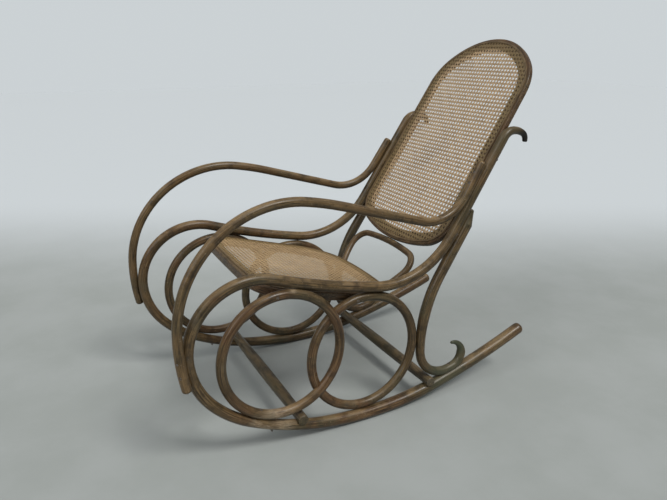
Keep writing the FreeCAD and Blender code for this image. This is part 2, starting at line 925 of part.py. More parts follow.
def frame_placement(origin, direction):
    """Lays a flat frame: its X stays across the chair and its Y runs along a direction in the Y Z plane."""
    normal = Vector(1, 0, 0).cross(direction)
    matrix = Matrix(
        1, direction.x, normal.x, origin.x,
        0, direction.y, normal.y, origin.y,
        0, direction.z, normal.z, origin.z,
        0, 0, 0, 1,
    )
    return Placement(matrix)


def middle_plane(vector):
    return Vector(0, vector.y, vector.z)


def build_seat_place():
    """The seat hangs just under the seat rails, along the line between their two ends."""
    front = middle_plane(placed_point(loop_path.pieces[seat_rail_piece][1]))
    rear = middle_plane(placed_point(loop_path.pieces[seat_rail_piece][2]))
    along = (rear - front).normalize()
    normal = Vector(1, 0, 0).cross(along)
    rail = seat_rail_path.at(seat_rail_path.pieces[0][5] / 2)[0]
    origin = middle_plane(placed_point(rail)) - normal * (loop_radius + seat_drop)
    return origin, along, normal


seat_origin, seat_along, seat_normal = build_seat_place()
seat_tilt = math.degrees(math.atan2(-seat_along.z, seat_along.y))


def seat_level(point):
    return (middle_plane(placed_point(point)) - seat_origin).dot(seat_along)


def build_seat_outline():
    """The seat fits between the rings: it meets the front pair behind its corners, the rear pair lower."""
    front_touch = seat_rail_path.nearest(front_ring_centre)[0]
    foot = seat_level(front_touch) - seat_front_reach
    level = foot + seat_front_corner
    spot = seat_origin + seat_along * level
    half = side_x(spot.y, spot.z) + ring_offset - ring_tube - rod_clearance

    def below_seat(angle):
        point = placed_point(step_from(rear_ring_centre, angle, rear_ring_radius))
        return (middle_plane(point) - seat_origin).dot(seat_normal) + seat_frame_thickness

    angle = solved(below_seat, 175.0, 95.0)
    meeting = placed_point(step_from(rear_ring_centre, angle, rear_ring_radius))
    rear_level = (middle_plane(meeting) - seat_origin).dot(seat_along)
    rear_half = meeting.x - ring_offset - ring_tube - rod_clearance
    taper = math.degrees(math.atan2(half - rear_half, rear_level - level))
    outline = OvalOutline(
        half, level, taper, foot, foot + seat_depth,
        seat_front_bow, seat_front_corner, seat_rear_bow, seat_rear_corner,
    )
    return outline


seat_outline = build_seat_outline()
seat_place = frame_placement(seat_origin, seat_along)


def upright_point(level):
    """The upright's middle at a level of the back panel."""
    return step_from(upright_path.start, upright_heading, level)


def build_back_outline():
    """The back panel fits between the two uprights."""
    levels = (0.0, upright_length)
    halves = [placed_point(upright_point(level)).x - loop_radius - rod_clearance for level in levels]
    taper = math.degrees(math.atan2(halves[0] - halves[1], upright_length))
    foot = -back_bottom_below_hip
    return OvalOutline(
        halves[0], 0.0, taper, foot, foot + back_length,
        back_bottom_bow, back_bottom_corner, back_crown, back_shoulder,
    )


back_outline = build_back_outline()
back_along = Vector(0, math.cos(math.radians(upright_heading)), math.sin(math.radians(upright_heading)))
back_normal = Vector(1, 0, 0).cross(back_along)
back_face = back_frame_thickness / 2 - back_set_back
back_origin = middle_plane(placed_point(upright_path.start)) + back_normal * back_face
back_place = frame_placement(back_origin, back_along)


def build_flat_frame(outline, width, thickness, place):
    frame = rounded_frame(outline, width, thickness)
    frame = frame.cut(groove_ring(outline, cane_edge_margin, cane_clearance))
    frame.Placement = place
    return frame


def build_spline(outline, place):
    spline = groove_ring(outline, cane_edge_margin)
    cap = outline.inset(cane_edge_margin).band(spline_width, 0.0, cane_thickness + spline_crown)
    spline = joined([spline, cap])
    spline.Placement = place
    return spline


def build_cane(outline, across, place):
    sheet = cane_sheet(outline, across)
    sheet.translate(Vector(0, 0, cane_clearance))
    sheet.Placement = place.multiply(sheet.Placement)
    return sheet


# Brace

def build_brace_place():
    top = middle_plane(back_place.multVec(Vector(0, back_outline.foot - brace_radius - rod_clearance, 0)))
    top = top - back_normal * (back_frame_thickness / 2)
    foot = seat_place.multVec(Vector(0, seat_outline.crown, -brace_seat_level))
    down = (foot - top).normalize()
    return top, down, (foot - top).Length


brace_top, brace_down, brace_reach = build_brace_place()


def build_brace_path():
    path = BentPath((0.0, 0.0), 0.0)
    path.bend(brace_bow_radius, -brace_bow_angle)
    path.bend(brace_corner_radius, -brace_corner_angle)
    side_drop = brace_reach + path.end[1]
    turned = path.end_heading
    swing = solved(
        lambda angle: (
            brace_side_radius * (math.cos(math.radians(turned - angle)) - math.cos(math.radians(turned)))
        ) * -1 - side_drop - brace_radius,
        0.5, 60.0,
    )
    path.bend(brace_side_radius, -swing)
    return path


def build_brace():
    """Both halves of the brace, ended flush on the seat frame's rear edge."""
    path = build_brace_path()
    edges = path.edges()
    half = round_rod(edges, brace_radius)
    whole = joined([half, half.mirror(Vector(0, 0, 0), Vector(0, 1, 0))])
    normal = Vector(1, 0, 0).cross(brace_down * -1)
    matrix = Matrix(
        normal.x, 1, -brace_down.x, brace_top.x,
        normal.y, 0, -brace_down.y, brace_top.y,
        normal.z, 0, -brace_down.z, brace_top.z,
        0, 0, 0, 1,
    )
    whole.Placement = Placement(matrix)
    seat_block = seat_outline.inset(-rod_clearance).plate(-3 * seat_frame_thickness, 6 * seat_frame_thickness)
    seat_block.Placement = seat_place
    return only_solid(whole.cut(seat_block)), path


# Screws of every joint, on the sitter's left-hand side

def side_screws():
    groups = {name: ScrewGroup() for name in (
        "arm_screws", "ring_screws", "leg_screws", "seat_screws", "back_screws", "stretcher_screws",
        "scarf_screws",
    )}

    front_end = arm_path.pieces[0][5] + 0.5 * arm_path.pieces[1][5]
    spot = closest_approach(arm_path, front_path, 0.0, front_end)[3]
    arm_places = [(along, front_path) for along in (spot, spot + arm_screw_spacing)]
    rear_place = arm_path.length() - arm_rear_screw_setback
    arm_places += [(along, upright_path) for along in (rear_place, rear_place - arm_screw_spacing)]
    for along, carrier in arm_places:
        point = arm_path.at(along)[0]
        screw_through(
            groups["arm_screws"], placed_point(point, arm_outward(point)),
            placed_point(carrier.nearest(point)[0]), arm_radius, loop_radius
        )

    rings = (
        (front_ring_centre, front_ring_radius, ring_offset),
        (rear_ring_centre, rear_ring_radius, -ring_offset),
    )
    for centre, radius, offset in rings:
        rods = [(seat_rail_path.nearest(centre)[0], loop_radius), runner_near(centre)]
        if offset < 0:
            rods.append((leg_path.nearest(centre)[0], shin_radius))
        for rod_middle, rod_radius in rods:
            near = step_from(centre, math.degrees(bearing(centre, rod_middle)), radius)
            screw_through(
                groups["ring_screws"], placed_point(near, offset), placed_point(rod_middle),
                ring_tube, rod_radius
            )

    for along in (leg_screw_setback, leg_screw_setback + leg_screw_spacing):
        point = leg_path.at(along)[0]
        carrier = placed_point(upright_path.nearest(point)[0])
        screw_through(groups["leg_screws"], placed_point(point), carrier, leg_radius, loop_radius)
    foot = leg_path.end_of(leg_heel)
    landing, landing_radius = runner_near(foot)
    foot, landing = placed_point(foot), placed_point(landing)
    screw_through(groups["leg_screws"], foot, landing, shin_radius, landing_radius)

    inward = Vector(-1, 0, 0)
    for centre, radius, offset in rings:
        point = ring_at_seat_middle(centre, radius, offset)
        groups["seat_screws"].add(point - inward * (ring_tube - screw_sunk), inward, seat_screw_length)

    for level in back_screw_levels + (upright_length - top_back_screw_below_end,):
        point = placed_point(upright_point(level)) - back_normal * back_set_back
        groups["back_screws"].add(point - inward * (loop_radius - screw_sunk), inward, back_screw_length)

    for y in (-front_stretcher_ahead, rear_stretcher_behind):
        seat, radius = stretcher_seat(y)
        top = placed_point(seat) + Vector(0, 0, stretcher_end_diameter / 2 - screw_sunk)
        length = stretcher_end_diameter - stretcher_notch + 2 * radius * rod_bite_share
        groups["stretcher_screws"].add(top, Vector(0, 0, -1), length)

    out = to_side.Rotation.multVec(scarf_normal)
    along = to_side.Rotation.multVec(Vector(1, 0, 0)).cross(out)
    for shift in (-scarf_screw_spacing / 2, scarf_screw_spacing / 2):
        point = to_side.multVec(flat(scarf_point)) + along * shift
        groups["scarf_screws"].add(point - out * (loop_radius - screw_sunk), out, scarf_screw_length)
    return groups


def ring_at_seat_middle(centre, radius, offset):
    """Where a ring crosses the middle of the seat frame's thickness, on the ring's front half."""

    def above_middle(angle):
        point = placed_point(step_from(centre, angle, radius))
        return (middle_plane(point) - seat_origin).dot(seat_normal) + seat_frame_thickness / 2

    angle = solved(above_middle, 90.0 - seat_tilt, 180.0)
    return placed_point(step_from(centre, angle, radius), offset)


def brace_screws(path):
    group = ScrewGroup()
    start = brace_top - back_along * (brace_radius - screw_sunk)
    group.add(start, back_along, brace_top_screw_length)
    for side in (-1, 1):
        spot = Vector(side * path.end[0], seat_outline.crown - seat_frame_width, -brace_seat_level)
        group.add(seat_place.multVec(spot), seat_along, seat_frame_width + brace_foot_screw_bite)
    return group


def mirrored(shape):
    return shape.mirror(Vector(0, 0, 0), Vector(1, 0, 0))


def placed(shape, place):
    shape.Placement = place
    return shape


def both_sides(group):
    """The same screws on both sides of the chair."""
    solids = group.solids()
    return Part.makeCompound(solids.Solids + mirrored(solids).Solids)


def build_chair():
    nodes = {}
    screws = side_screws()
    brace, brace_path = build_brace()
    brace_group = brace_screws(brace_path)
    front_ring, rear_ring = build_lapped_rings()
    side = {
        "side_loop": (
            build_loop(), ("arm_screws", "ring_screws", "leg_screws", "back_screws", "scarf_screws")
        ),
        "runner": (build_runner(), ("ring_screws", "leg_screws", "stretcher_screws", "scarf_screws")),
        "armrest": (build_arm(), ("arm_screws",)),
        "ring_front": (front_ring, ("ring_screws", "seat_screws")),
        "ring_rear": (rear_ring, ("ring_screws", "seat_screws")),
        "rear_leg": (build_leg(), ("leg_screws", "ring_screws")),
    }
    stretchers = {
        "stretcher_front": build_stretcher(-front_stretcher_ahead),
        "stretcher_rear": build_stretcher(rear_stretcher_behind),
    }
    runner_space = placed(whole_runner(lap_clearance), to_side)
    for name, (shape, group_names) in side.items():
        shape = placed(shape, to_side.multiply(shape.Placement))
        if name == "rear_leg":
            shape = only_solid(shape.cut(runner_space))
        shape = drilled(shape, [screws[group] for group in group_names])
        nodes[name + "_left"] = shape
        nodes[name + "_right"] = mirrored(shape)
    stretcher_holes = screws["stretcher_screws"].holes()
    stretcher_holes += [mirrored(hole) for hole in stretcher_holes]
    for name, rod in stretchers.items():
        cutters = [runner_space, mirrored(runner_space)] + stretcher_holes
        nodes[name] = only_solid(rod.cut([tool for tool in cutters if tool.BoundBox.intersect(rod.BoundBox)]))

    seat = build_flat_frame(seat_outline, seat_frame_width, seat_frame_thickness, seat_place)
    seat_holes = screws["seat_screws"].holes()
    seat = seat.cut(seat_holes + [mirrored(hole) for hole in seat_holes] + brace_group.holes()[1:])
    nodes["seat_frame"] = only_solid(seat)
    nodes["seat_cane"] = build_cane(seat_outline, seat_mesh_across, seat_place)
    nodes["seat_spline"] = build_spline(seat_outline, seat_place)

    back = build_flat_frame(back_outline, back_frame_width, back_frame_thickness, back_place)
    back_holes = screws["back_screws"].holes()
    back = back.cut(back_holes + [mirrored(hole) for hole in back_holes] + brace_group.holes()[:1])
    nodes["back_frame"] = only_solid(back)
    nodes["back_cane"] = build_cane(back_outline, back_mesh_across, back_place)
    nodes["back_spline"] = build_spline(back_outline, back_place)

    nodes["back_brace"] = only_solid(brace.cut(brace_group.holes()))
    nodes["brace_screws"] = brace_group.solids()
    for name, group in screws.items():
        nodes[name] = both_sides(group)
    return nodes


if __name__ == "__main__":
    os.makedirs("parts", exist_ok=True)
    for name, shape in build_chair().items():
        shape.exportStep("parts/" + name + ".step")
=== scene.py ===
import math
import random

import bpy
import numpy as np
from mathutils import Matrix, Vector


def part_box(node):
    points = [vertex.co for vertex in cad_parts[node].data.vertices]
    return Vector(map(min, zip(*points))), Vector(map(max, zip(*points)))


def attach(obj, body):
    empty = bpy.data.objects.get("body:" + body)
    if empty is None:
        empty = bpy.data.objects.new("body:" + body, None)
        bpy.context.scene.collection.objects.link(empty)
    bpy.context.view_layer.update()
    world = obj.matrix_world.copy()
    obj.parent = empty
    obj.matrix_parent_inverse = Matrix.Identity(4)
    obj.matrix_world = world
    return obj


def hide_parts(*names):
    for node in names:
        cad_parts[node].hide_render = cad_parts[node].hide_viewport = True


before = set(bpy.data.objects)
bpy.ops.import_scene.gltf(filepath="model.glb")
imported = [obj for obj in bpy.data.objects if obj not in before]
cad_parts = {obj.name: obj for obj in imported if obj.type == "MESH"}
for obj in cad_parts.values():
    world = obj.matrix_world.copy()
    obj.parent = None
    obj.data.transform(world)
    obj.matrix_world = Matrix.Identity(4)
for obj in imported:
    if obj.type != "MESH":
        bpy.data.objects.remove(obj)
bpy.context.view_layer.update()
random.seed(1860)

# The direction across the chair, and the camera of the photograph

ACROSS = np.array([1.0, 0.0, 0.0])
CAMERA_PLACE = (1.539, -0.793, 1.016)
CAMERA_TURN = (71.171, 0.0, 62.583)
CAMERA_LENS = 32.38
CAMERA_SENSOR = 36.0

# The woven cane, in metres

PITCH = 0.0127
PAIR_HALF = 0.00145
STRAND_WIDTH = 0.0026
STRAND_THICKNESS = 0.00046
STRAND_TOP_SHARE = 0.56
WEAVE_HEIGHT = 0.00016
DIAGONAL_HEIGHT = 0.00056
EDGE_SINK = 0.00033
END_ROOM = 0.002
RIM_WIDTH = 0.024
RIM_SOFTNESS = 0.003
EDGE_RAGGED = 0.012
STRAIGHT_STRAY = 0.00012
DIAGONAL_STRAY = 0.00015
STRAIGHT_REACH = 0.5
DIAGONAL_REACH = 1.1
DIAGONAL_CROSSING = 0.30
SHORTEST_STRAND = 0.6 * PITCH
BEYOND_PANEL = 9.0
PARALLEL = 1e-12

# How dark a strand may be, from 0 to 1: a random tone each, and painted shade that makes the lower straight
# strands, those across most, darker than the raised diagonals

ACROSS_TONE_AND_SHADE = (0.55, 1.0)
LENGTHWISE_TONE_AND_SHADE = (0.0, 0.7)
DIAGONAL_TONE_AND_SHADE = (0.0, 0.55)


# Small helpers for the shaders

def new_tree(name):
    """A new material and its empty shader tree."""
    material = bpy.data.materials.new(name)
    material.use_nodes = True
    tree = material.node_tree
    tree.nodes.clear()
    return material, tree


def add(tree, kind, inputs=None, **settings):
    """A new node with its settings, whose inputs are other nodes' outputs or plain values."""
    made = tree.nodes.new(kind)
    for key, value in settings.items():
        setattr(made, key, value)
    for key, value in (inputs or {}).items():
        socket = made.inputs[key]
        if isinstance(value, bpy.types.NodeSocket):
            tree.links.new(value, socket)
        else:
            socket.default_value = value
    return made


def calc(tree, operation, *values, clamp=False):
    """One step of arithmetic on numbers or on nodes' outputs."""
    made = add(tree, "ShaderNodeMath", operation=operation, use_clamp=clamp)
    for index, value in enumerate(values):
        if isinstance(value, bpy.types.NodeSocket):
            tree.links.new(value, made.inputs[index])
        else:
            made.inputs[index].default_value = value
    return made.outputs[0]


def dot(tree, vector, axis):
    made = add(tree, "ShaderNodeVectorMath", {0: vector, 1: tuple(axis)}, operation="DOT_PRODUCT")
    return made.outputs["Value"]


def joined(tree, x, y, z):
    return add(tree, "ShaderNodeCombineXYZ", {0: x, 1: y, 2: z}).outputs[0]


def noise(tree, vector, scale, detail=3.0, roughness=0.55, distortion=0.0):
    inputs = {
        "Vector": vector, "Scale": scale, "Detail": detail,
        "Roughness": roughness, "Distortion": distortion,
    }
    return add(tree, "ShaderNodeTexNoise", inputs).outputs["Fac"]


def band(tree, value, low, high):
    """0 below low and 1 above high, or the other way round where low is above high."""
    inputs = {"Value": value, "From Min": low, "From Max": high}
    return add(tree, "ShaderNodeMapRange", inputs, interpolation_type="SMOOTHSTEP").outputs["Result"]


def blend(tree, share, first, second):
    """The first colour, or the second where share is 1."""
    made = add(tree, "ShaderNodeMix", data_type="RGBA")
    for socket, value in ((0, share), (6, first), (7, second)):
        if isinstance(value, bpy.types.NodeSocket):
            tree.links.new(value, made.inputs[socket])
        elif socket == 0:
            made.inputs[0].default_value = value
        else:
            made.inputs[socket].default_value = (*value, 1.0)
    return made.outputs[2]


def cover(tree, colour, shade, value, limits, share):
    """The colour with a shade laid over it where the value passes its limits."""
    return blend(tree, calc(tree, "MULTIPLY", band(tree, value, *limits), share), colour, shade)


def near(tree, position, spot, inner, outer):
    """1 close to a spot and 0 away from it."""
    made = add(tree, "ShaderNodeVectorMath", {0: position, 1: spot}, operation="DISTANCE")
    return band(tree, made.outputs["Value"], outer, inner)


COAT_ROUGHNESS = 0.22


def surface(material, tree, colour, rough, height, bump, bump_depth, coat=0.0, metal=0.0, shine=0.5):
    """The shader itself, with its relief."""
    relief = add(tree, "ShaderNodeBump", {"Strength": bump, "Distance": bump_depth, "Height": height})
    inputs = {"Base Color": colour, "Roughness": rough, "Normal": relief.outputs[0]}
    shader = add(tree, "ShaderNodeBsdfPrincipled", inputs)
    shader.inputs["Metallic"].default_value = metal
    shader.inputs["Coat Weight"].default_value = coat
    shader.inputs["Coat Roughness"].default_value = COAT_ROUGHNESS
    shader.inputs["Specular IOR Level"].default_value = shine
    end = add(tree, "ShaderNodeOutputMaterial")
    tree.links.new(shader.outputs[0], end.inputs["Surface"])
    return material


# Old varnished beech

BROWN = (0.094, 0.060, 0.026)
DARK = (0.022, 0.016, 0.010)
RED = (0.112, 0.053, 0.025)
OLIVE = (0.060, 0.054, 0.028)
GREY = (0.125, 0.108, 0.080)
TAN = (0.285, 0.190, 0.092)
RAW = (0.520, 0.410, 0.280)
GREEN = (0.052, 0.064, 0.040)
BLACK = (0.008, 0.009, 0.008)


# How quickly the grain's noise runs: along and across each kind of piece

ROD_GRAIN = (9.0, 13.0, 13.0)
ROD_GRAIN_ROUND = 13.0
TURNED_GRAIN = (13.0, 900.0, 900.0)
PANEL_GRAIN_OUT = 190.0
PANEL_GRAIN_ROUND = 3.2
PANEL_GRAIN_DEEP = 700.0

# How small the marks in the wood are (noise scales)

FINE_GRAIN_SCALE = 3.3
BROAD_SCALE = 5.5
OLIVE_SCALE = 8.0
PATCH_SCALE = 17.0
STAIN_SCALE = 26.0
SPECK_SCALE = 260.0

# Where the noise starts and ends a mark, and for some how strongly it covers

REDDER = (0.42, 0.60)
OLIVE_PARTS = (0.48, 0.64)
PALE_STREAKS = ((0.51, 0.64), 0.55)
DARK_STREAKS = ((0.50, 0.38), 0.85)
STAINS = ((0.50, 0.66), 0.55)
DARK_PORES = ((0.45, 0.30), 0.60)
# Tops that face upward turn tan: partly wear, partly a painted highlight
RUBBED_AND_LIT_TOPS = (0.30, 0.95)
RUBBED_AND_LIT_PATCHES = (0.40, 0.60)
RUBBED_AND_LIT_GRAIN = (0.34, 0.58)
DUST = ((0.54, 0.74), 0.30)
NICKS = (0.67, 0.74)
NICK_COVER = 0.45
# Faces turned down are darkened: painted shade
PAINTED_UNDERSIDE_SHADE = ((-0.1, -0.85), 0.50)
SCRATCHED_GRAIN = (0.46, 0.58)


def grain_of(tree, position, normal, mode, axis, centre, spread):
    """Coordinates that run quickly across the grain and slowly along it."""
    if mode == "rod":
        side = calc(tree, "ARCSINE", dot(tree, normal, axis))
        along = add(tree, "ShaderNodeVectorMath", {0: position, 1: ROD_GRAIN}, operation="MULTIPLY")
        parts = add(tree, "ShaderNodeSeparateXYZ", {0: along.outputs[0]})
        turn = calc(tree, "ADD", calc(tree, "MULTIPLY", side, ROD_GRAIN_ROUND), parts.outputs[0])
        return joined(tree, turn, parts.outputs[1], parts.outputs[2])
    if mode == "turned":
        stretched = add(tree, "ShaderNodeVectorMath", {0: position, 1: TURNED_GRAIN}, operation="MULTIPLY")
        return stretched.outputs[0]
    moved = add(tree, "ShaderNodeVectorMath", {0: position, 1: centre}, operation="SUBTRACT").outputs[0]
    up = np.cross(axis, ACROSS)
    u = calc(tree, "DIVIDE", dot(tree, moved, ACROSS), spread[0])
    v = calc(tree, "DIVIDE", dot(tree, moved, up), spread[1])
    far = calc(tree, "SQRT", calc(tree, "ADD", calc(tree, "MULTIPLY", u, u), calc(tree, "MULTIPLY", v, v)))
    angle = calc(tree, "ARCTAN2", v, u)
    depth = dot(tree, moved, axis)
    return joined(
        tree,
        calc(tree, "MULTIPLY", far, PANEL_GRAIN_OUT),
        calc(tree, "MULTIPLY", angle, PANEL_GRAIN_ROUND),
        calc(tree, "MULTIPLY", depth, PANEL_GRAIN_DEEP),
    )


def wood(
    name, mode="rod", axis=ACROSS, centre=(0, 0, 0), spread=(1, 1), tint=BROWN,
    redness=0.5, wear=0.5, olive=0.5, spots=()
):
    """Varnished beech. Spots are places of their own: where, inner and outer reach, shade and strength."""
    material, tree = new_tree(name)
    position = add(tree, "ShaderNodeTexCoord").outputs["Object"]
    normal = add(tree, "ShaderNodeNewGeometry").outputs["Normal"]
    grain = grain_of(tree, position, normal, mode, axis, centre, spread)
    streak = noise(tree, grain, 1.0, detail=4.0, roughness=0.62, distortion=0.15)
    fine = noise(tree, grain, FINE_GRAIN_SCALE, roughness=0.6)
    broad = noise(tree, position, BROAD_SCALE, detail=2.0, roughness=0.5)
    patch = noise(tree, position, PATCH_SCALE, detail=4.0, roughness=0.6)
    speck = noise(tree, position, SPECK_SCALE, detail=2.0, roughness=0.6)

    colour = blend(tree, band(tree, broad, *REDDER), tint, RED)
    colour = blend(tree, redness, tint, colour)
    colour = cover(tree, colour, OLIVE, noise(tree, position, OLIVE_SCALE, roughness=0.6), OLIVE_PARTS, olive)
    colour = cover(tree, colour, TAN, streak, *PALE_STREAKS)
    colour = cover(tree, colour, DARK, streak, *DARK_STREAKS)
    colour = cover(tree, colour, DARK, noise(tree, position, STAIN_SCALE, roughness=0.65), *STAINS)
    colour = cover(tree, colour, DARK, fine, *DARK_PORES)

    # Faces turned up get a pale tan that is partly wear and partly a painted highlight
    up = add(tree, "ShaderNodeSeparateXYZ", {0: normal}).outputs[2]
    rubbed_and_lit = calc(tree, "MULTIPLY", band(tree, up, *RUBBED_AND_LIT_TOPS), band(tree, patch, *RUBBED_AND_LIT_PATCHES))
    rubbed_and_lit = calc(tree, "MULTIPLY", rubbed_and_lit, wear)
    colour = blend(tree, calc(tree, "MULTIPLY", rubbed_and_lit, band(tree, fine, *RUBBED_AND_LIT_GRAIN)), colour, TAN)
    colour = cover(tree, colour, GREY, patch, *DUST)
    nick = band(tree, speck, *NICKS)
    colour = blend(tree, calc(tree, "MULTIPLY", nick, NICK_COVER), colour, RAW)
    # Painted shade: faces that point down are darkened
    colour = cover(tree, colour, DARK, up, *PAINTED_UNDERSIDE_SHADE)
    for place, inner, outer, shade, share in spots:
        covered = calc(tree, "MULTIPLY", near(tree, position, place, inner, outer), share)
        if shade in (RAW, TAN):
            covered = calc(tree, "MULTIPLY", covered, band(tree, fine, *SCRATCHED_GRAIN))
        colour = blend(tree, covered, colour, shade)

    rough = calc(tree, "ADD", calc(tree, "MULTIPLY", patch, 0.30), 0.18)
    rough = calc(tree, "ADD", rough, calc(tree, "MULTIPLY", rubbed_and_lit, 0.12), clamp=True)
    height = calc(tree, "ADD", calc(tree, "MULTIPLY", streak, 0.8), calc(tree, "MULTIPLY", fine, 0.5))
    height = calc(tree, "SUBTRACT", height, calc(tree, "MULTIPLY", nick, 0.5))
    return surface(material, tree, colour, rough, height, bump=0.6, bump_depth=0.0008, coat=0.05, shine=0.30)


# Cane, reed and screws

CANE_FIBRE = (7.0, 45.0, 90.0)
CANE_JOINT = (5.0, 60.0)
CANE_FAINT_FIBRES = ((0.46, 0.32), 0.55)
CANE_AGED_PATCHES = ((0.48, 0.70), 0.22)
CANE_SPECKS = ((0.60, 0.74), 0.4)
CANE_JOINTS = ((0.72, 0.76), 0.5)
RIM_COVER = 0.8

REED_PALE = (0.20, 0.135, 0.065)
REED_DEEP = (0.115, 0.075, 0.036)
REED_PATCHES = (0.35, 0.65)
REED_PORES = ((0.52, 0.66), 0.4)

STEEL = (0.26, 0.24, 0.21)
RUST = (0.11, 0.055, 0.028)
RUST_PATCHES = (0.42, 0.62)


def cane_stuff(name, light, deep, age, rim):
    """Peeled cane: a glossy skin with long fibres, darker with age in patches and over the frame."""
    material, tree = new_tree(name)
    position = add(tree, "ShaderNodeTexCoord").outputs["Object"]
    fibre = add(tree, "ShaderNodeAttribute", attribute_name="fibre", attribute_type="GEOMETRY")
    parts = add(tree, "ShaderNodeSeparateXYZ", {0: fibre.outputs["Vector"]})
    along, own = parts.outputs[1], parts.outputs[2]
    lines = [calc(tree, "MULTIPLY", part, rate) for part, rate in zip(parts.outputs, CANE_FIBRE)]
    streak = noise(tree, joined(tree, *lines), 1.0, roughness=0.6)
    patch = noise(tree, position, 9.0, roughness=0.6)
    small = noise(tree, position, 120.0, detail=2.0, roughness=0.6)
    # Light colour for a low value, deep for a high one: random tone plus painted shade on the lower straight
    # strands
    colour = blend(tree, own, light, deep)
    colour = cover(tree, colour, age, streak, *CANE_FAINT_FIBRES)
    colour = cover(tree, colour, age, patch, *CANE_AGED_PATCHES)
    colour = cover(tree, colour, age, small, *CANE_SPECKS)
    lengths = joined(
        tree, 0.0, calc(tree, "MULTIPLY", along, CANE_JOINT[0]), calc(tree, "MULTIPLY", own, CANE_JOINT[1])
    )
    colour = cover(tree, colour, age, noise(tree, lengths, 1.0, detail=0.0), *CANE_JOINTS)
    edge = add(tree, "ShaderNodeAttribute", attribute_name="edge", attribute_type="GEOMETRY").outputs["Fac"]
    ragged = calc(tree, "ADD", edge, calc(tree, "MULTIPLY", calc(tree, "SUBTRACT", patch, 0.5), EDGE_RAGGED))
    colour = cover(tree, colour, rim, ragged, (RIM_WIDTH + RIM_SOFTNESS, RIM_WIDTH - RIM_SOFTNESS), RIM_COVER)
    rough = calc(tree, "ADD", calc(tree, "MULTIPLY", streak, 0.25), 0.28)
    return surface(material, tree, colour, rough, streak, bump=0.35, bump_depth=0.0002, coat=0.15)


def reed_stuff(name):
    """The dull reed that holds the cane in its groove."""
    material, tree = new_tree(name)
    position = add(tree, "ShaderNodeTexCoord").outputs["Object"]
    patch = noise(tree, position, 30.0, detail=4.0, roughness=0.6)
    fine = noise(tree, position, 400.0, roughness=0.6)
    colour = blend(tree, band(tree, patch, *REED_PATCHES), REED_PALE, REED_DEEP)
    colour = cover(tree, colour, DARK, fine, *REED_PORES)
    rough = calc(tree, "ADD", calc(tree, "MULTIPLY", patch, 0.3), 0.35)
    return surface(material, tree, colour, rough, fine, bump=0.4, bump_depth=0.0003, coat=0.1)


def steel_stuff(name):
    """Dull iron screws with rust."""
    material, tree = new_tree(name)
    position = add(tree, "ShaderNodeTexCoord").outputs["Object"]
    rust = noise(tree, position, 420.0, detail=4.0, roughness=0.65)
    brush = noise(tree, position, 1600.0, detail=2.0, roughness=0.5)
    colour = blend(tree, band(tree, rust, *RUST_PATCHES), STEEL, RUST)
    rough = calc(tree, "ADD", calc(tree, "MULTIPLY", rust, 0.4), 0.25)
    height = calc(tree, "ADD", rust, calc(tree, "MULTIPLY", brush, 0.3))
    return surface(material, tree, colour, rough, height, bump=0.5, bump_depth=0.0003, metal=0.75)


# The woven panels

def panel_of(node):
    """A cane panel's plane, its outline in that plane and the level of its middle."""
    points = np.array([v.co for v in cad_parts[node].data.vertices], float)
    middle = (points.min(0) + points.max(0)) / 2
    _, _, turned = np.linalg.svd(points - points.mean(0), full_matrices=False)
    normal = turned[2] if turned[2][2] > 0 else -turned[2]
    normal[0] = 0.0
    normal /= np.linalg.norm(normal)
    along = np.cross(normal, ACROSS)
    flat = np.stack([(points - middle) @ ACROSS, (points - middle) @ along], 1)
    level = (points - middle) @ normal
    middle = middle + normal * (level.min() + level.max()) / 2
    return middle, along, normal, hull(flat)


def hull(points):
    """The outline round points in a plane, in order."""
    ordered = sorted(set(map(tuple, np.round(points, 6))))

    def half(run):
        kept = []
        for p in run:
            while len(kept) > 1:
                a, b = kept[-2], kept[-1]
                if (b[0] - a[0]) * (p[1] - a[1]) - (b[1] - a[1]) * (p[0] - a[0]) > 0:
                    break
                kept.pop()
            kept.append(p)
        return kept[:-1]

    return half(ordered) + half(reversed(ordered))


def crossing(outline, start, direction):
    """Where a line enters and leaves the outline, as distances along it."""
    low, high = -BEYOND_PANEL, BEYOND_PANEL
    for (ax, ay), (bx, by) in zip(outline, outline[1:] + outline[:1]):
        out_x, out_y = by - ay, ax - bx
        rate = out_x * direction[0] + out_y * direction[1]
        gap = out_x * (ax - start[0]) + out_y * (ay - start[1])
        if abs(rate) < PARALLEL:
            if gap < 0:
                return None
        elif rate > 0:
            high = min(high, gap / rate)
        else:
            low = max(low, gap / rate)
    return (low, high) if high - low > SHORTEST_STRAND else None


